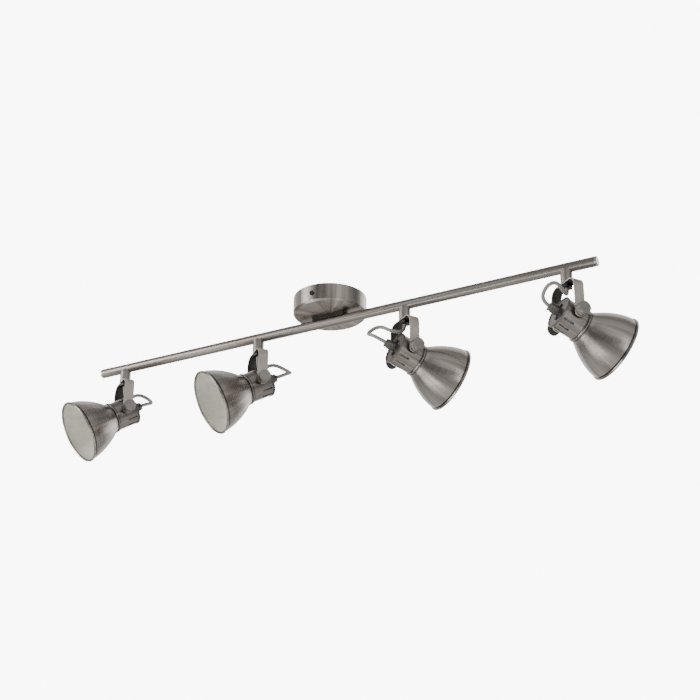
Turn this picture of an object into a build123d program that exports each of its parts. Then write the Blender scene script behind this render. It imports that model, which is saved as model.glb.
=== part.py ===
"""Ceiling spotlight bar with four swivelling, tilting bell-shade heads. Millimetres, +Z up, ceiling at 0."""
import os
from math import acos, cos, pi, radians, sin, tan

from build123d import *

os.makedirs("parts", exist_ok=True)

# ---- driving dimensions -------------------------------------------------------------------------
canopy_radius = 48.5
canopy_height = 24.0
canopy_wall = 1.2
canopy_bevel = 2.2
canopy_seat_depth = 0.6           # flat seat under each side screw head
canopy_seat_margin = 0.4          # seat radius beyond the screw head
lock_screw_z = -12.0              # height of the two side screws that hold the canopy
wire_hole_radius = 4.0            # canopy floor and spacer

bracket_width = 22.0
bracket_half_length = 45.8        # out to the outside of the turned-down tabs
bracket_thickness = 1.5
bracket_tab_depth = 17.0
bracket_tab_inset = 8.0           # a tab is this much narrower than the strap
bracket_slot_spacing = 50.0
bracket_slot_length = 12.0
bracket_slot_width = 4.5

terminal_size = (26.0, 16.0, 12.0)
terminal_ways = 3
terminal_wire_radius = 1.8
terminal_screw_radius = 1.6
terminal_screw_depth = 3.0

spacer_length = 46.0
spacer_width = 14.0
spacer_drop = 6.0                 # canopy underside to the spacer's lower edge
rail_gap = 3.0                    # canopy underside to the top of the rail

rail_radius = 6.4
rail_wall = 1.0
rail_half_length = 368.0
rail_cap_length = 3.0
rail_cap_plug = 8.0
rail_cap_chamfer = 0.9
rail_cap_slack = 0.02             # plug to the inside of the tube
rail_wire_entry_radius = 3.4
rail_wire_outlet_radius = 3.2
rail_axis_z = -(canopy_height + rail_gap + rail_radius)

screw_shaft_radius = 1.9
screw_hole_radius = 1.95
screw_clear_radius = 2.2
screw_head_radius = 3.2
screw_head_height = 1.8
screw_length = 8.5
screw_slot_width = 0.9
screw_slot_depth = 0.8
spacer_screw_x = 16.0

head_spacing = 220.0
stem_radius = 7.5
stem_bottom_z = rail_axis_z - 22.0
stem_saddle_z = rail_axis_z - 3.0
swivel_pin_radius = 4.0
swivel_bore_radius = 4.05
swivel_pin_length = 14.6
cable_bore_radius = 1.7

yoke_half_gap = 24.0              # pivot line: centre to the inside of an arm
yoke_thickness = 1.6
yoke_width = 13.5
yoke_shoulder_radius = 12.0
yoke_end_below_pivot = 8.0
pivot_drop = 68.5                 # rail axis to tilt axis
pivot_z = rail_axis_z - pivot_drop
yoke_top_z = stem_bottom_z
yoke_under_z = stem_bottom_z - yoke_thickness

bolt_head_height = 4.0
bolt_head_across_flats = 13.0

knob_radius = 8.0
knob_length = 9.0
knob_collar_radius = 5.5
knob_collar_length = 2.0
knob_grooves = 24
knob_groove_radius = 0.45
knob_chamfer = 0.3
knob_seat_gap = 0.05              # collar to the yoke arm, so that the screw turns freely
pivot_screw_radius = 2.0
pivot_screw_clear = 2.05
pivot_boss_radius = 5.0
pivot_boss_face = 23.7            # centre to the outer face of the boss on the neck
pivot_screw_inner = 21.0          # centre to the inner end of a thumb screw

neck_radius = 20.0
neck_wall = 1.2
neck_rear = -13.5                 # along the aim axis, measured from the tilt axis
neck_front = 19.0
vent_count = 12
vent_width = 2.6
vent_rear = -12.2
vent_front = 3.0
vent_skip_cosine = 0.9            # slots nearer than this to the tilt axis are left out

cap_rear = -16.0
cap_radius = 20.8
cap_plate = 2.5
cap_recess = 0.8                  # outer face sunk inside the raised rim
cap_rim = 1.4

gland_rear = -29.0
gland_radius = 5.6
gland_rib_radius = 6.4
gland_ribs = 3
gland_rib_start = 3.4
gland_rib_pitch = 2.6
gland_rib_width = 1.4
set_screw_radius = 1.5
set_screw_setback = 2.0           # gland mouth to the set screw's centre

shade_front = 72.0
shade_wall = 0.9
rim_bead_radius = 1.5
# outside of the bell: distance along the aim axis, radius
bell_outline = [
    (19.0, 20.6), (22.0, 22.0), (28.0, 26.0), (38.0, 32.2), (50.0, 37.8), (62.0, 41.4), (71.0, 42.3),
]

holder_radius = 14.0
holder_front = 7.0
holder_pin_spacing = 10.0
holder_pin_radius = 2.6
holder_pin_depth = 9.0
holder_bore_depth = 8.5           # screw and cable holes from the back
small_screw_radius = 1.45
small_screw_head_radius = 2.6
small_screw_head_height = 1.4
small_screw_offset = 10.0
small_screw_length = 9.0

cable_radius = 2.4
# heading of each aim direction about +Z from +X, its tilt below horizontal, and the corners of the
# cable's loop (behind the swivel axis, aside along the tilt axis, above the rail axis)
heads = [
    {
        "name": "1",
        "heading": 233.4,
        "tilt": 32.4,
        "loop": [(0, 0, -36.1), (9.3, -12.9, -42.0), (29.8, -30.1, -20.9), (50.8, -21.4, -35.0)],
        "lead": 8.2,
    },
    {
        "name": "2",
        "heading": 229.1,
        "tilt": 29.4,
        "loop": [(0, 0, -38.6), (10.3, -18.2, -41.7), (28.1, -27.4, -20.2), (53.4, -18.2, -34.8)],
        "lead": 21.1,
    },
    {
        "name": "3",
        "heading": 56.0,
        "tilt": 18.8,
        "loop": [(0, 0, -38.0), (18.0, -1.1, -42.7), (29.0, 15.4, -29.0), (44.7, 20.4, -43.0)],
        "lead": 19.8,
    },
    {
        "name": "4",
        "heading": 53.5,
        "tilt": 22.9,
        "loop": [(0, 0, -34.5), (8.8, -9.3, -42.1), (26.6, -17.7, -31.6), (40.8, -15.1, -41.2)],
        "lead": 12.2,
    },
]


def save(solid, name):
    """Label one finished piece and write its STEP file."""
    solid.label = name
    export_step(solid, f"parts/{name}.step")
    print(f"{name}: volume {solid.volume:.1f} mm3, solids {len(solid.solids())}")


# ---- canopy and ceiling fixing ------------------------------------------------------------------
with BuildPart() as canopy:
    with BuildSketch(Plane.XZ):
        with BuildLine():
            Polyline(
                (canopy_radius - canopy_wall, 0),
                (canopy_radius, 0),
                (canopy_radius, -canopy_height + canopy_bevel),
                (canopy_radius - canopy_bevel, -canopy_height),
                (0, -canopy_height),
                (0, -canopy_height + canopy_wall),
                (canopy_radius - canopy_bevel - canopy_wall / 2, -canopy_height + canopy_wall),
                (canopy_radius - canopy_wall, -canopy_height + canopy_bevel + canopy_wall / 2),
                close=True,
            )
        make_face()
    revolve(axis=Axis.Z)
    # wire hole and the two spacer screw holes in the floor of the canopy
    with BuildSketch(Plane.XY.offset(-canopy_height)):
        Circle(wire_hole_radius)
        with Locations((-spacer_screw_x, 0), (spacer_screw_x, 0)):
            Circle(screw_clear_radius)
    extrude(amount=canopy_wall, mode=Mode.SUBTRACT)
    # side screw holes, each with a shallow seat for the flat screw head
    for side in (-1, 1):
        seat_y = side * (canopy_radius - canopy_seat_depth)
        side_plane = Plane(origin=(0, seat_y, lock_screw_z), x_dir=(1, 0, 0), z_dir=(0, side, 0))
        with BuildSketch(side_plane):
            Circle(screw_head_radius + canopy_seat_margin)
        extrude(amount=2, mode=Mode.SUBTRACT)
        with BuildSketch(side_plane):
            Circle(screw_clear_radius)
        extrude(amount=-3, mode=Mode.SUBTRACT)
save(canopy.part, "canopy")

with BuildPart() as ceiling_bracket:
    with BuildSketch(Plane.XY):
        Rectangle(bracket_width, 2 * bracket_half_length)
        with Locations((0, -bracket_slot_spacing / 2), (0, bracket_slot_spacing / 2)):
            SlotOverall(bracket_slot_length, bracket_slot_width, rotation=90, mode=Mode.SUBTRACT)
    extrude(amount=-bracket_thickness)
    for side in (-1, 1):
        tab_plane = Plane(origin=(0, side * bracket_half_length, 0), x_dir=(1, 0, 0), z_dir=(0, side, 0))
        tab_up = 1 if tab_plane.y_dir.Z > 0 else -1
        with BuildSketch(tab_plane):
            with Locations((0, -tab_up * bracket_tab_depth / 2)):
                Rectangle(bracket_width - bracket_tab_inset, bracket_tab_depth)
            with Locations((0, tab_up * lock_screw_z)):
                Circle(screw_hole_radius, mode=Mode.SUBTRACT)
        extrude(amount=-bracket_thickness)
        with BuildSketch(tab_plane):
            with Locations((0, tab_up * lock_screw_z)):
                Circle(screw_hole_radius)
        extrude(amount=-bracket_thickness, mode=Mode.SUBTRACT)
save(ceiling_bracket.part, "ceiling_bracket")

# four identical screws: two lock the canopy to the bracket, two clamp the spacer and the rail
with BuildPart() as canopy_screws:
    screw_seats = []
    for side in (-1, 1):
        wall_seat = (0, side * (canopy_radius - canopy_seat_depth), lock_screw_z)
        screw_seats.append(Plane(origin=wall_seat, x_dir=(1, 0, 0), z_dir=(0, side, 0)))
        floor_seat = (side * spacer_screw_x, 0, -canopy_height + canopy_wall)
        screw_seats.append(Plane(origin=floor_seat, x_dir=(1, 0, 0), z_dir=(0, 0, 1)))
    for seat in screw_seats:
        with BuildSketch(seat):
            Circle(screw_head_radius)
        extrude(amount=screw_head_height)
        with BuildSketch(seat):
            Circle(screw_shaft_radius)
        extrude(amount=-screw_length)
        with BuildSketch(seat.offset(screw_head_height)):
            Rectangle(3 * screw_head_radius, screw_slot_width)
        extrude(amount=-screw_slot_depth, mode=Mode.SUBTRACT)
save(canopy_screws.part, "canopy_screws")

with BuildPart() as terminal_block:
    with BuildSketch(Plane.XY.offset(-bracket_thickness)):
        Rectangle(terminal_size[0], terminal_size[1])
    extrude(amount=-terminal_size[2])
    way_pitch = terminal_size[0] / terminal_ways
    # wire entries through the block and clamp screw wells from below
    with BuildSketch(Plane.XZ.offset(-terminal_size[1] / 2)):
        for way in range(terminal_ways):
            way_x = (way - (terminal_ways - 1) / 2) * way_pitch
            with Locations((way_x, -bracket_thickness - terminal_size[2] / 2)):
                Circle(terminal_wire_radius)
    extrude(amount=terminal_size[1], mode=Mode.SUBTRACT)
    with BuildSketch(Plane.XY.offset(-bracket_thickness - terminal_size[2])):
        for way in range(terminal_ways):
            for row in (-1, 1):
                with Locations(((way - (terminal_ways - 1) / 2) * way_pitch, row * terminal_size[1] / 4)):
                    Circle(terminal_screw_radius)
    extrude(amount=terminal_screw_depth, mode=Mode.SUBTRACT)
save(terminal_block.part, "terminal_block")

# ---- spacer and rail ----------------------------------------------------------------------------
with BuildPart() as spacer:
    with BuildSketch(Plane.XY.offset(-canopy_height)):
        Rectangle(spacer_length, spacer_width)
        Circle(wire_hole_radius, mode=Mode.SUBTRACT)
        with Locations((-spacer_screw_x, 0), (spacer_screw_x, 0)):
            Circle(screw_clear_radius, mode=Mode.SUBTRACT)
    extrude(amount=-spacer_drop)
    with BuildSketch(Plane(origin=(-spacer_length / 2, 0, rail_axis_z), z_dir=(1, 0, 0))):
        Circle(rail_radius)
    extrude(amount=spacer_length, mode=Mode.SUBTRACT)
save(spacer.part, "spacer")

head_x = [(index - 1.5) * head_spacing for index in range(len(heads))]

with BuildPart() as rail:
    with BuildSketch(Plane(origin=(-rail_half_length, 0, rail_axis_z), z_dir=(1, 0, 0))):
        Circle(rail_radius)
        Circle(rail_radius - rail_wall, mode=Mode.SUBTRACT)
    extrude(amount=2 * rail_half_length)
    # wire entry and two threaded holes on top, under the spacer
    with BuildSketch(Plane.XY.offset(rail_axis_z)):
        Circle(rail_wire_entry_radius)
        with Locations((-spacer_screw_x, 0), (spacer_screw_x, 0)):
            Circle(screw_hole_radius)
    extrude(amount=rail_radius + 1, mode=Mode.SUBTRACT)
    # wire outlets over the stems
    with BuildSketch(Plane.XY.offset(rail_axis_z)):
        for x in head_x:
            with Locations((x, 0)):
                Circle(rail_wire_outlet_radius)
    extrude(amount=-rail_radius - 1, mode=Mode.SUBTRACT)
save(rail.part, "rail")

for side, cap_name in ((-1, "rail_cap_left"), (1, "rail_cap_right")):
    with BuildPart() as rail_cap:
        with BuildSketch(Plane(origin=(side * rail_half_length, 0, rail_axis_z), z_dir=(side, 0, 0))):
            Circle(rail_radius)
        extrude(amount=rail_cap_length)
        chamfer(rail_cap.faces().sort_by(Axis.X)[-1 if side > 0 else 0].edges(), rail_cap_chamfer)
        with BuildSketch(Plane(origin=(side * rail_half_length, 0, rail_axis_z), z_dir=(side, 0, 0))):
            Circle(rail_radius - rail_wall - rail_cap_slack)
        extrude(amount=-rail_cap_plug)
    save(rail_cap.part, cap_name)


def corner_radii(points):
    """Bend radius at each inner corner: 0.45 of the shorter run (0.9 of an end run) over tan(turn / 2)."""
    radii = []
    for k in range(1, len(points) - 1):
        before = points[k] - points[k - 1]
        after = points[k + 1] - points[k]
        turn = acos(max(-1.0, min(1.0, before.dot(after) / (before.length * after.length))))
        share_before = 0.9 if k == 1 else 0.45
        share_after = 0.9 if k == len(points) - 2 else 0.45
        radii.append(min(share_before * before.length, share_after * after.length) / tan(turn / 2))
    return radii


# ---- one head per stem --------------------------------------------------------------------------
for index, head in enumerate(heads):
    n = head["name"]
    x = head_x[index]
    turn_angle = radians(head["heading"])
    tilt_angle = radians(head["tilt"])
    ahead = Vector(cos(turn_angle), sin(turn_angle), 0)
    aim = Vector(ahead.X * cos(tilt_angle), ahead.Y * cos(tilt_angle), -sin(tilt_angle))
    across = Vector(-sin(turn_angle), cos(turn_angle), 0)      # along the tilt axis
    normal = aim.cross(across)                                 # square to aim, on the upper side
    pivot = Vector(x, 0, pivot_z)
    aim_axis = Axis(pivot, aim)
    # sketch plane holding the aim axis: local X is the radius, local Y runs along the aim
    profile_plane = Plane(origin=pivot, x_dir=across, z_dir=across.cross(aim))

    with BuildPart() as stem:
        with BuildSketch(Plane(origin=(x, 0, stem_bottom_z), z_dir=(0, 0, 1))):
            Circle(stem_radius)
            Circle(swivel_bore_radius, mode=Mode.SUBTRACT)
        extrude(amount=stem_saddle_z - stem_bottom_z)
        with BuildSketch(Plane(origin=(x - 20, 0, rail_axis_z), z_dir=(1, 0, 0))):
            Circle(rail_radius)
        extrude(amount=40, mode=Mode.SUBTRACT)
    save(stem.part, f"stem_{n}")

    # hollow hex bolt: its shank turns in the stem, its head carries the yoke, the cable leaves its mouth
    with BuildPart() as swivel_bolt:
        bolt_head_plane = Plane(origin=(x, 0, yoke_under_z), x_dir=ahead, z_dir=(0, 0, -1))
        with BuildSketch(bolt_head_plane):
            RegularPolygon(bolt_head_across_flats / 2, 6, major_radius=False)
        extrude(amount=bolt_head_height)
        with BuildSketch(bolt_head_plane):
            Circle(swivel_pin_radius)
        extrude(amount=-swivel_pin_length)
        with BuildSketch(bolt_head_plane.offset(bolt_head_height)):
            Circle(cable_bore_radius)
        extrude(amount=-40, mode=Mode.SUBTRACT)
    save(swivel_bolt.part, f"swivel_bolt_{n}")

    with BuildPart() as yoke:
        yoke_height = yoke_top_z - pivot_z + yoke_end_below_pivot
        half_width = yoke_half_gap + yoke_thickness
        yoke_face = Plane(origin=(x, 0, yoke_top_z), x_dir=across, z_dir=across.cross(Vector(0, 0, 1)))
        with BuildSketch(yoke_face) as strip:
            Rectangle(2 * half_width, yoke_height, align=(Align.CENTER, Align.MAX))
            fillet(strip.vertices().group_by(Axis.Y)[-1], yoke_shoulder_radius)
            with BuildSketch(mode=Mode.SUBTRACT) as inside:
                with Locations((0, -yoke_thickness)):
                    Rectangle(2 * yoke_half_gap, yoke_height, align=(Align.CENTER, Align.MAX))
                fillet(inside.vertices().group_by(Axis.Y)[-1], yoke_shoulder_radius - yoke_thickness)
        extrude(amount=yoke_width / 2, both=True)
        # round the lower ends of both arms about the tilt axis
        arm_plane = Plane(origin=pivot - across * (half_width + 1), x_dir=ahead, z_dir=across)
        rise = 1 if arm_plane.y_dir.Z > 0 else -1
        with BuildSketch(arm_plane) as outline:
            with Locations((0, rise * (yoke_height - yoke_end_below_pivot) / 2)):
                Rectangle(yoke_width + 1, yoke_height - yoke_end_below_pivot + 1)
            Circle(yoke_end_below_pivot)
        extrude(amount=2 * half_width + 2, mode=Mode.INTERSECT)
        with BuildSketch(arm_plane):
            Circle(pivot_screw_clear)
        extrude(amount=2 * half_width + 2, mode=Mode.SUBTRACT)
        with BuildSketch(Plane(origin=(x, 0, yoke_top_z + 1), z_dir=(0, 0, 1))):
            Circle(swivel_bore_radius)
        extrude(amount=-4, mode=Mode.SUBTRACT)
    save(yoke.part, f"yoke_{n}")

    for side, side_name in ((-1, "right"), (1, "left")):
        knob_seat = half_width + knob_seat_gap
        knob_plane = Plane(origin=pivot + across * side * knob_seat, x_dir=ahead, z_dir=across * side)
        with BuildPart() as knob:
            with BuildSketch(knob_plane):
                Circle(knob_collar_radius)
            extrude(amount=knob_collar_length)
            with BuildSketch(knob_plane.offset(knob_collar_length)):
                Circle(knob_radius)
                with PolarLocations(knob_radius, knob_grooves):
                    Circle(knob_groove_radius, mode=Mode.SUBTRACT)
            extrude(amount=knob_length)
            outer_face = knob.faces().sort_by(Axis(pivot, across * side))[-1]
            chamfer(outer_face.edges().group_by(SortBy.LENGTH)[-1], knob_chamfer)
            with BuildSketch(knob_plane):
                Circle(pivot_screw_radius)
            extrude(amount=-(knob_seat - pivot_screw_inner))
        save(knob.part, f"thumb_screw_{side_name}_{n}")

    with BuildPart() as neck:
        with BuildSketch(profile_plane):
            with BuildLine():
                Polyline(
                    (neck_radius - neck_wall, neck_rear),
                    (neck_radius, neck_rear),
                    (neck_radius, neck_front - 3.0),
                    (neck_radius + 1.6, neck_front - 2.2),
                    (neck_radius + 1.6, neck_front - 0.8),
                    (neck_radius + 0.4, neck_front),
                    (neck_radius - neck_wall, neck_front),
                    close=True,
                )
            make_face()
        revolve(axis=aim_axis)
        for side in (-1, 1):
            boss_plane = Plane(origin=pivot + across * side * pivot_boss_face, x_dir=aim, z_dir=across * side)
            with BuildSketch(boss_plane):
                Circle(pivot_boss_radius)
            extrude(amount=-(pivot_boss_face - neck_radius + neck_wall))
        for side in (-1, 1):
            boss_plane = Plane(origin=pivot + across * side * pivot_boss_face, x_dir=aim, z_dir=across * side)
            with BuildSketch(boss_plane):
                Circle(pivot_screw_clear)
            extrude(amount=-8, mode=Mode.SUBTRACT)
        # axial cooling slots, left out where the pivot bosses are
        for slot in range(vent_count):
            angle = (slot + 0.5) * 2 * pi / vent_count
            outward = across * cos(angle) + normal * sin(angle)
            if abs(cos(angle)) > vent_skip_cosine:
                continue
            slot_plane = Plane(origin=pivot + outward * (neck_radius + 2), x_dir=aim, z_dir=outward)
            with BuildSketch(slot_plane):
                with Locations(((vent_rear + vent_front) / 2, 0)):
                    SlotOverall(vent_front - vent_rear, vent_width)
            extrude(amount=-6, mode=Mode.SUBTRACT)
    save(neck.part, f"neck_{n}")

    cap_face = Plane(origin=pivot + aim * cap_rear, x_dir=across, z_dir=aim)
    with BuildPart() as rear_cap:
        with BuildSketch(cap_face):
            Circle(cap_radius)
        extrude(amount=cap_plate)
        with BuildSketch(cap_face):
            Circle(cap_radius - cap_rim)
        extrude(amount=cap_recess, mode=Mode.SUBTRACT)
        with BuildSketch(cap_face):
            Circle(cable_bore_radius)
            with Locations((0, small_screw_offset), (0, -small_screw_offset)):
                Circle(small_screw_radius + 0.15)
        extrude(amount=cap_plate, mode=Mode.SUBTRACT)
    save(rear_cap.part, f"rear_cap_{n}")

    gland_face = cap_face.offset(cap_recess)
    gland_length = cap_rear + cap_recess - gland_rear
    with BuildPart() as gland:
        with BuildSketch(gland_face):
            Circle(gland_radius)
        extrude(amount=-gland_length)
        for rib in range(gland_ribs):
            with BuildSketch(gland_face.offset(-gland_rib_start - gland_rib_pitch * rib)):
                Circle(gland_rib_radius)
            extrude(amount=-gland_rib_width)
        with BuildSketch(gland_face):
            Circle(cable_bore_radius)
        extrude(amount=-gland_length, mode=Mode.SUBTRACT)
        set_screw_centre = pivot + aim * (gland_rear + set_screw_setback)
        with BuildSketch(Plane(origin=set_screw_centre + across * 12, x_dir=aim, z_dir=across)):
            Circle(set_screw_radius)
        extrude(amount=-9, mode=Mode.SUBTRACT)
    save(gland.part, f"gland_{n}")

    # two cheese-head screws through the rear cap into the lampholder, and the gland's set screw
    with BuildPart() as small_screws:
        for offset in (-small_screw_offset, small_screw_offset):
            seat_centre = cap_face.from_local_coords(Vector(0, offset, cap_recess))
            seat = Plane(origin=seat_centre, x_dir=across, z_dir=aim * -1)
            with BuildSketch(seat):
                Circle(small_screw_head_radius)
            extrude(amount=small_screw_head_height)
            with BuildSketch(seat):
                Circle(small_screw_radius)
            extrude(amount=-small_screw_length)
            with BuildSketch(seat.offset(small_screw_head_height)):
                Rectangle(3 * small_screw_head_radius, screw_slot_width)
            extrude(amount=-screw_slot_depth, mode=Mode.SUBTRACT)
        with BuildSketch(Plane(origin=set_screw_centre + across * 3.2, x_dir=aim, z_dir=across)):
            Circle(set_screw_radius - 0.02)
        extrude(amount=5.0)
    save(small_screws.part, f"small_screws_{n}")

    with BuildPart() as lampholder:
        holder_back = cap_face.offset(cap_plate)
        holder_length = holder_front - cap_rear - cap_plate
        with BuildSketch(holder_back):
            Circle(holder_radius)
        extrude(amount=holder_length)
        with BuildSketch(holder_back):
            Circle(cable_bore_radius)
            with Locations((0, small_screw_offset), (0, -small_screw_offset)):
                Circle(small_screw_radius + 0.02)
        extrude(amount=holder_bore_depth, mode=Mode.SUBTRACT)
        with BuildSketch(holder_back.offset(holder_length)):
            with Locations((holder_pin_spacing / 2, 0), (-holder_pin_spacing / 2, 0)):
                Circle(holder_pin_radius)
        extrude(amount=-holder_pin_depth, mode=Mode.SUBTRACT)
    save(lampholder.part, f"lampholder_{n}")

    with BuildPart() as shade:
        with BuildSketch(profile_plane):
            with BuildLine():
                outer = Spline([(radius, along) for along, radius in bell_outline])
                inner = Spline([(radius - shade_wall, along) for along, radius in bell_outline])
                Line(outer @ 0, inner @ 0)
                Line(outer @ 1, inner @ 1)
            make_face()
        revolve(axis=aim_axis)
        # rolled bead at the rim
        with BuildSketch(profile_plane):
            with Locations((bell_outline[-1][1], shade_front - rim_bead_radius)):
                Circle(rim_bead_radius)
        revolve(axis=aim_axis)
    save(shade.part, f"shade_{n}")

    # flexible lead from the bolt mouth, back and round into the gland
    gland_mouth = pivot + aim * gland_rear
    route = [Vector(x, 0, yoke_under_z - bolt_head_height)]
    for behind, aside, above in head["loop"]:
        route.append(Vector(x, 0, rail_axis_z + above) - ahead * behind + across * aside)
    route += [gland_mouth - aim * head["lead"], gland_mouth]
    bends = corner_radii(route)
    with BuildPart() as cable:
        with BuildLine() as path:
            FilletPolyline(*route, radius=bends)
        with BuildSketch(Plane(origin=route[0], x_dir=ahead, z_dir=(0, 0, -1))):
            Circle(cable_radius)
        sweep(path=path.wires()[0])
    path_length = path.wires()[0].length
    expected = pi * cable_radius**2 * path_length
    print(f"cable_{n}: radii {[round(b, 1) for b in bends]}, length {path_length:.1f}, "
          f"volume ratio {cable.part.volume / expected:.4f}")
    save(cable.part, f"cable_{n}")
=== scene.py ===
"""Visual model of the ceiling spotlight bar: materials, leads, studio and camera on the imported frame."""
from math import cos, pi, radians, sin

import bpy
import numpy as np
from mathutils import Matrix, Vector


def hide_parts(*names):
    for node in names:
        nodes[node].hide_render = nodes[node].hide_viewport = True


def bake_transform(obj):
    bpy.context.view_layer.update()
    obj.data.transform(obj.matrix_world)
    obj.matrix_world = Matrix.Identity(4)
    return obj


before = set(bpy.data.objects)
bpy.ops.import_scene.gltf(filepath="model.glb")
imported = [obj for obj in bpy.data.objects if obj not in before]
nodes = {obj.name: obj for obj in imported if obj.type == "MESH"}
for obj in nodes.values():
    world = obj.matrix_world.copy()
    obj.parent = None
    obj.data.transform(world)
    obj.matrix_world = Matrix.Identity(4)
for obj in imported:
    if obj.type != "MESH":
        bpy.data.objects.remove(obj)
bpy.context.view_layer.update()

MM_PER_M = 1000

# heights of the rail's axis and of the heads' pivots in metres, with the ceiling at zero
RAIL_Z = -0.0334
PIVOT_Z = -0.1019

# Each head's place along the rail in metres, the way it faces and how far it looks down in degrees,
# then its lead in millimetres: the straight run out of the gland, and the route's points from the yoke,
# each behind the stem, aside of it and above the rail's axis.
HEADS = [
    {"name": "1", "x": -0.330, "heading": 233.4, "tilt": 32.4, "straight": 8.2,
     "loop": [(0, 0, -36.1), (9.3, -12.9, -42.0), (29.8, -30.1, -20.9), (50.8, -21.4, -35.0)]},
    {"name": "2", "x": -0.110, "heading": 229.1, "tilt": 29.4, "straight": 21.1,
     "loop": [(0, 0, -38.6), (10.3, -18.2, -41.7), (28.1, -27.4, -20.2), (53.4, -18.2, -34.8)]},
    {"name": "3", "x": 0.110, "heading": 56.0, "tilt": 18.8, "straight": 19.8,
     "loop": [(0, 0, -38.0), (18.0, -1.1, -42.7), (29.0, 15.4, -29.0), (44.7, 20.4, -43.0)]},
    {"name": "4", "x": 0.330, "heading": 53.5, "tilt": 22.9, "straight": 12.2,
     "loop": [(0, 0, -34.5), (8.8, -9.3, -42.1), (26.6, -17.7, -31.6), (40.8, -15.1, -41.2)]},
]
BOLT_MOUTH_BELOW_RAIL = 0.0276
GLAND_MOUTH_BEHIND_PIVOT = 0.029
CABLE_RADIUS = 0.0024
TUBE_SIDES = 20

# along a head's axis from its pivot
RIM_START = 0.0695
# painted shade: dark rings on the turned shells in the creases before the rim bead and where neck and shade
# meet; distance along the axis, half width, what is left of the light there
SHADE_GROOVE_SHADOWS = [(0.0195, 0.0006, 0.35), (0.0680, 0.0009, 0.10)]
NECK_GROOVE_SHADOWS = [(0.0154, 0.0006, 0.35), (0.0188, 0.0004, 0.5)]
MARK_CORE, MARK_EDGE = 0.6, 1.3  # in half widths
# a shell's face belongs to its bore when its normal's outward share is under this
BORE_FACING = -0.15
# a yoke's face is inside when a point above the pivot lies this far in front of it
HOLLOW_FACING = 0.004
HOLLOW_CENTRE_ABOVE_PIVOT = 0.02

NOISE_LOW, NOISE_HIGH = 0.3, 0.7  # nearly all of a noise lies between these
WARM = (1.0, 0.93, 0.87)
NEUTRAL = (1, 1, 1)
BRUSHED_GRAIN = 0.00003

LIGHTS_AIM = (0, 0, -0.08)
LIT_WALL_DIRECTION = (-0.43, 0.80, 0.42)
LIT_WALL_START, LIT_WALL_FULL = 0.45, 0.85  # cosine from that direction
LIT_WALL_LEVEL = 1.3
SCREENS_SHARE = 0.85
BACKDROP_STRENGTH = 9.0
FLOOR_REACH, FLOOR_LEVEL = 6.0, -1.7

for head in HEADS:
    turn, tilt = radians(head["heading"]), radians(head["tilt"])
    head["ahead"] = Vector((cos(turn), sin(turn), 0))
    head["across"] = Vector((-sin(turn), cos(turn), 0))
    head["aim"] = Vector((cos(turn) * cos(tilt), sin(turn) * cos(tilt), -sin(tilt)))
    head["pivot"] = Vector((head["x"], 0, PIVOT_Z))


# ---- camera -------------------------------------------------------------------------------------
def place_camera():
    """Looks up at the fixture from the near side, below it and to its right."""
    azimuth, elevation, roll, distance = radians(28.585), radians(24.635), radians(0.496), 1.9196
    target = Vector((0.0307, 0, -0.0803))
    look = Vector((-sin(azimuth) * cos(elevation), cos(azimuth) * cos(elevation), sin(elevation)))
    right = Vector((cos(azimuth), sin(azimuth), 0))
    up = right.cross(look)
    right, up = cos(roll) * right + sin(roll) * up, -sin(roll) * right + cos(roll) * up
    data = bpy.data.cameras.new("camera")
    data.sensor_width = 36
    data.lens = 76.155
    data.clip_start = 0.05
    data.clip_end = 50
    camera = bpy.data.objects.new("camera", data)
    bpy.context.collection.objects.link(camera)
    place = Matrix((right, up, -look)).transposed().to_4x4()
    place.translation = target - look * distance
    camera.matrix_world = place
    bpy.context.scene.camera = camera


place_camera()


# ---- node helpers -------------------------------------------------------------------------------
def new_material(name):
    material = bpy.data.materials.new(name)
    material.use_nodes = True
    tree = material.node_tree
    shader = tree.nodes["Principled BSDF"]
    return material, tree, shader


def add(tree, kind, **settings):
    node = tree.nodes.new(kind)
    for key, value in settings.items():
        setattr(node, key, value)
    return node


def noise(tree, vector, scale, detail, rough):
    node = add(tree, "ShaderNodeTexNoise")
    node.inputs["Scale"].default_value = scale
    node.inputs["Detail"].default_value = detail
    node.inputs["Roughness"].default_value = rough
    tree.links.new(vector, node.inputs["Vector"])
    return node.outputs["Fac"]


def ramp(tree, value, stops):
    node = add(tree, "ShaderNodeValToRGB")
    elements = node.color_ramp.elements
    while len(elements) < len(stops):
        elements.new(0.5)
    for element, (position, colour) in zip(elements, stops):
        element.position = position
        element.color = (*colour, 1)
    tree.links.new(value, node.inputs["Fac"])
    return node.outputs["Color"]


def spread(tree, value, low, high):
    """Stretches a noise over low to high."""
    node = add(tree, "ShaderNodeMapRange")
    node.inputs["From Min"].default_value = NOISE_LOW
    node.inputs["From Max"].default_value = NOISE_HIGH
    node.inputs["To Min"].default_value = low
    node.inputs["To Max"].default_value = high
    tree.links.new(value, node.inputs["Value"])
    return node.outputs["Result"]


def multiply(tree, a, b, factor=1.0):
    node = add(tree, "ShaderNodeMix", data_type="RGBA", blend_type="MULTIPLY")
    node.inputs["Factor"].default_value = factor
    tree.links.new(a, node.inputs["A"])
    tree.links.new(b, node.inputs["B"])
    return node.outputs["Result"]


def bump(tree, shader, height, distance, strength):
    node = add(tree, "ShaderNodeBump")
    node.inputs["Strength"].default_value = strength
    node.inputs["Distance"].default_value = distance
    tree.links.new(height, node.inputs["Height"])
    tree.links.new(node.outputs["Normal"], shader.inputs["Normal"])


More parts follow.
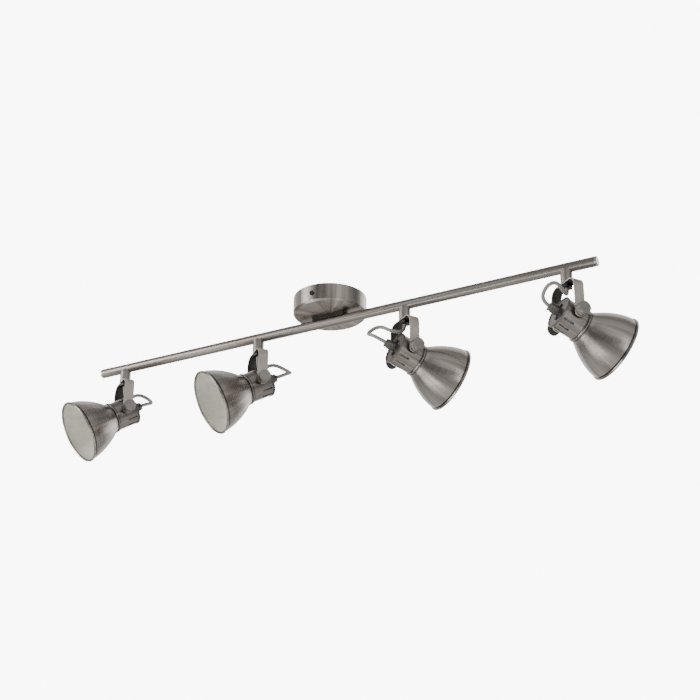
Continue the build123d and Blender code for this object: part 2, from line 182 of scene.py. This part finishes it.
def local_vector(tree, origin, basis, stretch=(1, 1, 1)):
    """Object coordinates seen from a frame at origin whose axes are the columns of basis, then stretched."""
    coordinates = add(tree, "ShaderNodeTexCoord")
    into = add(tree, "ShaderNodeMapping", vector_type="TEXTURE")
    into.inputs["Location"].default_value = origin
    into.inputs["Rotation"].default_value = basis.to_euler()
    tree.links.new(coordinates.outputs["Object"], into.inputs["Vector"])
    scale = add(tree, "ShaderNodeMapping")
    scale.inputs["Scale"].default_value = stretch
    tree.links.new(into.outputs["Vector"], scale.inputs["Vector"])
    return scale.outputs["Vector"]


def ring_vector(tree, origin, basis, along):
    """Direction round the local Z axis as a unit circle, with a slow term along the axis."""
    flat = local_vector(tree, origin, basis, (1, 1, 0))
    unit = add(tree, "ShaderNodeVectorMath", operation="NORMALIZE")
    tree.links.new(flat, unit.inputs[0])
    axial = local_vector(tree, origin, basis, (0, 0, along))
    total = add(tree, "ShaderNodeVectorMath", operation="ADD")
    tree.links.new(unit.outputs["Vector"], total.inputs[0])
    tree.links.new(axial, total.inputs[1])
    return total.outputs["Vector"]


def paint_groove_shadows(tree, origin, basis, groove_shadows):
    """White, with a darker ring of painted shade at each of the given creases along local Z."""
    split = add(tree, "ShaderNodeSeparateXYZ")
    tree.links.new(local_vector(tree, origin, basis), split.inputs["Vector"])
    total = None
    for place, half_width, depth in groove_shadows:
        shifted = add(tree, "ShaderNodeMath", operation="SUBTRACT")
        tree.links.new(split.outputs["Z"], shifted.inputs[0])
        shifted.inputs[1].default_value = place
        away = add(tree, "ShaderNodeMath", operation="ABSOLUTE")
        tree.links.new(shifted.outputs["Value"], away.inputs[0])
        fade = add(tree, "ShaderNodeMapRange")
        fade.inputs["From Min"].default_value = half_width * MARK_CORE
        fade.inputs["From Max"].default_value = half_width * MARK_EDGE
        fade.inputs["To Min"].default_value = depth
        fade.inputs["To Max"].default_value = 1.0
        tree.links.new(away.outputs["Value"], fade.inputs["Value"])
        shadow_factor = fade.outputs["Result"]
        total = shadow_factor if total is None else multiply(tree, total, shadow_factor)
    return total


# ---- materials ----------------------------------------------------------------------------------
def grey(value, tint=WARM):
    return tuple(value * channel for channel in tint)


def turned_nickel(name, origin, basis, light, dark, reflection_band_scale, rough, groove_shadows=()):
    """Antique nickel polished in the lathe, with painted reflections: bands of light and shade that run along
    the axis, fine rings round it.
    """
    material, tree, shader = new_material(name)
    ring = ring_vector(tree, origin, basis, 2.0)
    # painted reflection: light and dark bands round the axis, up to 1.35 times the light tone, stand for
    # reflections streaking along it
    painted_reflection_noise = noise(tree, ring, reflection_band_scale, 2.0, 0.55)
    painted_reflection_tone = ramp(tree, painted_reflection_noise, [(0.30, grey(dark, (1.0, 0.92, 0.90))), (0.46, grey((light + dark) / 2)),
                              (0.58, grey(light)), (0.74, grey(light * 1.35))])
    fine = noise(tree, local_vector(tree, origin, basis, (12, 12, 3500)), 1.0, 2.0, 0.5)
    # finer painted reflection streaks that darken the bands in places
    painted_streak = noise(tree, ring_vector(tree, origin, basis, 1.0), 14.0, 2.0, 0.5)
    colour = multiply(tree, painted_reflection_tone, ramp(tree, painted_streak, [(0.3, grey(0.80)), (0.7, NEUTRAL)]), 0.8)
    # painted shade in the creases: the colour darkens in rings along the axis
    if groove_shadows:
        colour = multiply(tree, colour, paint_groove_shadows(tree, origin, basis, groove_shadows))
    tree.links.new(colour, shader.inputs["Base Color"])
    tree.links.new(spread(tree, fine, rough - 0.05, rough + 0.06), shader.inputs["Roughness"])
    bump(tree, shader, fine, 0.000004, 0.4)
    shader.inputs["Metallic"].default_value = 1.0
    # lathe rings draw each highlight out along the axis
    along = add(tree, "ShaderNodeCombineXYZ")
    for channel, value in zip("XYZ", basis.col[2]):
        along.inputs[channel].default_value = value
    turn = add(tree, "ShaderNodeVectorTransform", vector_type="VECTOR",
               convert_from="OBJECT", convert_to="WORLD")
    tree.links.new(along.outputs["Vector"], turn.inputs["Vector"])
    tree.links.new(turn.outputs["Vector"], shader.inputs["Tangent"])
    shader.inputs["Anisotropic"].default_value = 0.75
    return material


def drawn_nickel(name, stretch, light, dark, rough):
    """Nickel brushed in one direction: stretch gives the frequency along each row axis."""
    material, tree, shader = new_material(name)
    vector = local_vector(tree, (0, 0, 0), Matrix.Identity(3), stretch)
    lines = noise(tree, vector, 1.0, 5.0, 0.65)
    broad_vector = local_vector(tree, (0, 0, 0), Matrix.Identity(3), (9, 60, 60))
    patches = noise(tree, broad_vector, 1.0, 3.0, 0.5)
    colour = multiply(tree, ramp(tree, lines, [(0.30, grey(dark)), (0.62, grey(light))]),
                      ramp(tree, patches, [(0.3, grey(0.78)), (0.65, NEUTRAL)]), 0.9)
    tree.links.new(colour, shader.inputs["Base Color"])
    tree.links.new(spread(tree, lines, rough - 0.06, rough + 0.10), shader.inputs["Roughness"])
    bump(tree, shader, lines, BRUSHED_GRAIN, 0.6)
    shader.inputs["Metallic"].default_value = 1.0
    return material


def grained(name, light, dark, scale, rough, metallic, grain, tint=WARM):
    """Cast or moulded surface: fine speckle in colour, roughness and height."""
    material, tree, shader = new_material(name)
    vector = local_vector(tree, (0, 0, 0), Matrix.Identity(3))
    speckle = noise(tree, vector, scale, 5.0, 0.65)
    cloud = noise(tree, vector, scale / 12, 2.0, 0.5)
    colour = multiply(tree, ramp(tree, speckle, [(0.36, grey(dark, tint)), (0.62, grey(light, tint))]),
                      ramp(tree, cloud, [(0.35, grey(0.80, NEUTRAL)), (0.65, NEUTRAL)]), 0.8)
    tree.links.new(colour, shader.inputs["Base Color"])
    tree.links.new(spread(tree, speckle, rough - 0.07, rough + 0.09), shader.inputs["Roughness"])
    bump(tree, shader, speckle, grain, 0.5)
    shader.inputs["Metallic"].default_value = metallic
    return material


def dress(node, material):
    """Replaces a CAD node's material."""
    data = nodes[node].data
    data.materials.clear()
    data.materials.append(material)


upright = Matrix.Identity(3)
# the canopy's turned nickel carries the painted reflection bands too
canopy_metal = turned_nickel("canopy_nickel", (0, 0, 0), upright, 0.52, 0.32, 3.4, 0.32)
rail_metal = drawn_nickel("rail_nickel", (5, 900, 900), 0.42, 0.24, 0.36)
stem_metal = drawn_nickel("stem_nickel", (700, 700, 20), 0.52, 0.33, 0.34)
yoke_metal = drawn_nickel("yoke_nickel", (420, 420, 25), 0.84, 0.70, 0.42)
bright_metal = drawn_nickel("end_nickel", (300, 300, 300), 0.80, 0.62, 0.26)
cast_metal = grained("cast_nickel", 0.30, 0.15, 1500, 0.42, 1.0, 0.00008)
# near-black standing in for the shade inside the necks and between the yoke arms
inner_shade_dark = grained("painted_inner_shade", 0.14, 0.07, 1200, 0.45, 0.6, 0.00005)
knob_metal = grained("knob_nickel", 0.50, 0.34, 900, 0.40, 1.0, 0.00003)
dark_metal = grained("dark_plated", 0.10, 0.045, 900, 0.38, 1.0, 0.00003)
zinc_metal = grained("zinc_plated", 0.66, 0.45, 500, 0.36, 1.0, 0.00003, (0.97, 0.99, 1.0))
# black standing in for shade on the knob turned from the camera
far_knob_shade_black = grained("far_knob_painted_shade", 0.030, 0.014, 1400, 0.42, 0.0, 0.00003, NEUTRAL)
terminal_plastic = grained("terminal_natural", 0.78, 0.68, 400, 0.45, 0.0, 0.00002, (1.0, 0.99, 0.94))
ceramic = grained("glazed_ceramic", 0.90, 0.84, 600, 0.25, 0.0, 0.00002, (1.0, 0.99, 0.945))
enamel = grained("cream_enamel", 0.86, 0.81, 700, 0.42, 0.0, 0.00002, (1.0, 0.985, 0.88))
jacket = grained("lead_jacket", 0.44, 0.37, 800, 0.55, 0.0, 0.00003, (1.0, 0.985, 0.91))

for node, material in (
    ("canopy", canopy_metal), ("rail", rail_metal), ("spacer", dark_metal),
    ("ceiling_bracket", zinc_metal), ("canopy_screws", dark_metal), ("terminal_block", terminal_plastic),
    ("rail_cap_left", bright_metal), ("rail_cap_right", bright_metal),
):
    dress(node, material)


# ---- heads --------------------------------------------------------------------------------------
def face_table(data):
    """Centres and normals of a mesh's faces, one row each."""
    centres = np.empty(len(data.polygons) * 3)
    normals = np.empty(len(data.polygons) * 3)
    data.polygons.foreach_get("center", centres)
    data.polygons.foreach_get("normal", normals)
    return centres.reshape(-1, 3), normals.reshape(-1, 3)


def paint_bore(node, pivot, aim, inner_material):
    """Second material on the faces of a turned shell that look towards its axis."""
    data = nodes[node].data
    data.materials.append(inner_material)
    centres, normals = face_table(data)
    centres = centres - np.array(pivot)
    axis = np.array(aim)
    radial = centres - np.outer(centres @ axis, axis)
    radius = np.linalg.norm(radial, axis=1)
    inward = (radial * normals).sum(axis=1) / np.maximum(radius, 1e-9) < BORE_FACING
    before_rim = centres @ axis < RIM_START
    data.polygons.foreach_set("material_index", (inward & before_rim).astype(np.int32))


def paint_hollow(node, centre, inner_material):
    """Second material on the faces of a bent strap that look towards a point between its arms."""
    data = nodes[node].data
    data.materials.append(inner_material)
    centres, normals = face_table(data)
    facing = ((np.array(centre) - centres) * normals).sum(axis=1) > HOLLOW_FACING
    data.polygons.foreach_set("material_index", facing.astype(np.int32))


def tube(name, points, radius):
    """Closed mesh tube along points, with rings carried along without twist."""
    vertices, faces = [], []
    sides = TUBE_SIDES
    tangent = (points[1] - points[0]).normalized()
    side = tangent.orthogonal().normalized()
    for k, point in enumerate(points):
        ahead = (points[min(k + 1, len(points) - 1)] - points[max(k - 1, 0)]).normalized()
        side = (side - ahead * side.dot(ahead)).normalized()
        other = ahead.cross(side)
        for s in range(sides):
            angle = 2 * pi * s / sides
            vertices.append(point + (side * cos(angle) + other * sin(angle)) * radius)
    for k in range(len(points) - 1):
        for s in range(sides):
            t = (s + 1) % sides
            faces.append((k * sides + s, k * sides + t, (k + 1) * sides + t, (k + 1) * sides + s))
    faces.append(tuple(reversed(range(sides))))
    last = (len(points) - 1) * sides
    faces.append(tuple(range(last, last + sides)))
    mesh = bpy.data.meshes.new(name)
    mesh.from_pydata([tuple(v) for v in vertices], [], faces)
    mesh.polygons.foreach_set("use_smooth", [len(f) == 4 for f in faces])
    obj = bpy.data.objects.new(name, mesh)
    bpy.context.collection.objects.link(obj)
    return obj


def smooth_line(points):
    """Points read from the NURBS spline whose control points are the route."""
    curve = bpy.data.curves.new("route", "CURVE")
    curve.dimensions = "3D"
    spline = curve.splines.new("NURBS")
    spline.points.add(len(points) - 1)
    for target, point in zip(spline.points, points):
        target.co = (*point, 1)
    spline.order_u = 3
    spline.use_endpoint_u = True
    spline.resolution_u = 16
    holder = bpy.data.objects.new("route", curve)
    bpy.context.collection.objects.link(holder)
    mesh = bpy.data.meshes.new_from_object(holder)
    line = [v.co.copy() for v in mesh.vertices]
    bpy.data.objects.remove(holder)
    bpy.data.meshes.remove(mesh)
    bpy.data.curves.remove(curve)
    return line


for head in HEADS:
    n = head["name"]
    mouth = Vector((head["x"], 0, RAIL_Z - BOLT_MOUTH_BELOW_RAIL))
    gland = head["pivot"] - head["aim"] * GLAND_MOUTH_BEHIND_PIVOT
    route = [mouth]
    for behind, aside, above in head["loop"]:
        route.append(Vector((head["x"], 0, RAIL_Z + above / MM_PER_M))
                     - head["ahead"] * behind / MM_PER_M + head["across"] * aside / MM_PER_M)
    route += [gland - head["aim"] * head["straight"] / MM_PER_M, gland]
    line = smooth_line(route)
    lead = tube(f"lead_{n}", line, CABLE_RADIUS)
    lead.data.materials.append(jacket)
    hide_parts(f"cable_{n}")
    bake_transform(lead)

    basis = Matrix((head["across"], head["aim"].cross(head["across"]), head["aim"])).transposed()
    # painted reflection bands on shade and neck, with painted shade rings in their creases
    shade_metal = turned_nickel(f"shade_nickel_{n}", head["pivot"], basis, 0.50, 0.26, 2.3, 0.27, SHADE_GROOVE_SHADOWS)
    neck_metal = turned_nickel(f"neck_nickel_{n}", head["pivot"], basis, 0.42, 0.20, 3.6, 0.30, NECK_GROOVE_SHADOWS)
    dress(f"shade_{n}", shade_metal)
    paint_bore(f"shade_{n}", head["pivot"], head["aim"], enamel)
    dress(f"neck_{n}", neck_metal)
    # painted shade: the neck's bore is near-black so the slots read dark
    paint_bore(f"neck_{n}", head["pivot"], head["aim"], inner_shade_dark)
    dress(f"stem_{n}", stem_metal)
    dress(f"yoke_{n}", yoke_metal)
    # painted shade: the yoke's inner faces are near-black
    paint_hollow(f"yoke_{n}", head["pivot"] + Vector((0, 0, HOLLOW_CENTRE_ABOVE_PIVOT)), inner_shade_dark)
    dress(f"swivel_bolt_{n}", dark_metal)
    dress(f"rear_cap_{n}", cast_metal)
    dress(f"gland_{n}", cast_metal)
    dress(f"small_screws_{n}", dark_metal)
    dress(f"lampholder_{n}", ceramic)
    # painted shade: the knob on the side turned from the camera gets the black, the near one the nickel
    near = "right" if n in "34" else "left"
    for side in ("left", "right"):
        dress(f"thumb_screw_{side}_{n}", knob_metal if side == near else far_knob_shade_black)


# ---- studio -------------------------------------------------------------------------------------
def area_light(name, place, size, power):
    data = bpy.data.lights.new(name, "AREA")
    data.shape = "RECTANGLE"
    data.size, data.size_y = size
    data.energy = power
    light = bpy.data.objects.new(name, data)
    bpy.context.collection.objects.link(light)
    light.location = place
    light.rotation_euler = (Vector(LIGHTS_AIM) - Vector(place)).to_track_quat("-Z", "Y").to_euler()


def studio():
    area_light("key", (-1.9, -1.7, 0.1), (1.4, 1.4), 42)
    area_light("fill_right", (2.2, -1.2, -0.5), (0.5, 1.8), 6)
    area_light("strip_low", (-0.9, -1.3, -1.5), (1.8, 0.30), 7)
    area_light("back", (0.6, 2.0, 0.5), (1.8, 1.0), 10)

    world = bpy.data.worlds.new("studio")
    bpy.context.scene.world = world
    world.use_nodes = True
    tree = world.node_tree
    background = tree.nodes["Background"]
    coordinates = add(tree, "ShaderNodeTexCoord")
    split = add(tree, "ShaderNodeSeparateXYZ")
    tree.links.new(coordinates.outputs["Generated"], split.inputs["Vector"])
    height = spread(tree, split.outputs["Z"], 0.0, 1.0)
    height.node.inputs["From Min"].default_value = -1.0
    height.node.inputs["From Max"].default_value = 1.0
    # from straight down to straight up: lit floor, dark band about level, bright band over it, ceiling
    room = ramp(tree, height, [(0.0, (0.62, 0.61, 0.60)), (0.35, (0.30, 0.295, 0.29)),
                               (0.52, (0.16, 0.155, 0.15)), (0.60, (0.70, 0.70, 0.69)),
                               (1.0, (0.55, 0.55, 0.55))])
    # upright screens round the object, which turned metal shows as streaks
    around = add(tree, "ShaderNodeMapping", vector_type="POINT")
    around.inputs["Scale"].default_value = (1, 1, 0)
    tree.links.new(coordinates.outputs["Generated"], around.inputs["Vector"])
    level_direction = add(tree, "ShaderNodeVectorMath", operation="NORMALIZE")
    tree.links.new(around.outputs["Vector"], level_direction.inputs[0])
    screens = noise(tree, level_direction.outputs["Vector"], 3.1, 2.0, 0.5)
    shades = ramp(tree, screens, [(0.40, (0.12, 0.115, 0.115)), (0.47, (0.45, 0.44, 0.44)),
                                  (0.53, (0.75, 0.75, 0.74)), (0.60, NEUTRAL)])
    room = multiply(tree, room, shades, SCREENS_SHARE)
    # the lit wall behind the object
    towards = add(tree, "ShaderNodeVectorMath", operation="DOT_PRODUCT")
    tree.links.new(coordinates.outputs["Generated"], towards.inputs[0])
    towards.inputs[1].default_value = LIT_WALL_DIRECTION
    glow = spread(tree, towards.outputs["Value"], 0.0, 1.0)
    glow.node.inputs["From Min"].default_value = LIT_WALL_START
    glow.node.inputs["From Max"].default_value = LIT_WALL_FULL
    wall = add(tree, "ShaderNodeMix", data_type="RGBA")
    tree.links.new(glow, wall.inputs["Factor"])
    tree.links.new(room, wall.inputs["A"])
    wall.inputs["B"].default_value = (LIT_WALL_LEVEL, LIT_WALL_LEVEL, LIT_WALL_LEVEL, 1)
    tree.links.new(wall.outputs["Result"], background.inputs["Color"])
    background.inputs["Strength"].default_value = 1.0
    # the backdrop itself is plain white to the camera
    backdrop = add(tree, "ShaderNodeBackground")
    backdrop.inputs["Color"].default_value = (1, 1, 1, 1)
    backdrop.inputs["Strength"].default_value = BACKDROP_STRENGTH
    seen = add(tree, "ShaderNodeLightPath")
    pick = add(tree, "ShaderNodeMixShader")
    tree.links.new(seen.outputs["Is Camera Ray"], pick.inputs[0])
    tree.links.new(background.outputs["Background"], pick.inputs[1])
    tree.links.new(backdrop.outputs["Background"], pick.inputs[2])
    tree.links.new(pick.outputs["Shader"], tree.nodes["World Output"].inputs["Surface"])

    mesh = bpy.data.meshes.new("floor")
    outline = ((-1, -1), (1, -1), (1, 1), (-1, 1))
    corners = [(x * FLOOR_REACH, y * FLOOR_REACH, FLOOR_LEVEL) for x, y in outline]
    mesh.from_pydata(corners, [], [(0, 1, 2, 3)])
    floor = bpy.data.objects.new("floor", mesh)
    bpy.context.collection.objects.link(floor)
    material, floor_tree, shader = new_material("floor_paper")
    fibres = noise(floor_tree, local_vector(floor_tree, (0, 0, 0), Matrix.Identity(3)), 900.0, 4.0, 0.6)
    paper = ramp(floor_tree, fibres, [(0.35, (0.76, 0.76, 0.75)), (0.65, (0.84, 0.84, 0.83))])
    floor_tree.links.new(paper, shader.inputs["Base Color"])
    floor_tree.links.new(spread(floor_tree, fibres, 0.84, 0.95), shader.inputs["Roughness"])
    bump(floor_tree, shader, fibres, 0.00005, 0.4)
    floor.data.materials.append(material)


studio()

# ---- softened edges on the yokes, caps, stems, bolts and screws ---------------------------------
for node in list(nodes):
    if node.startswith(("yoke_", "rail_cap_", "stem_", "swivel_bolt_", "thumb_screw_", "canopy_screws")):
        edge = nodes[node].modifiers.new("edges", "BEVEL")
        edge.width = 0.0002
        edge.segments = 2
        edge.limit_method = "ANGLE"
        edge.angle_limit = radians(40)
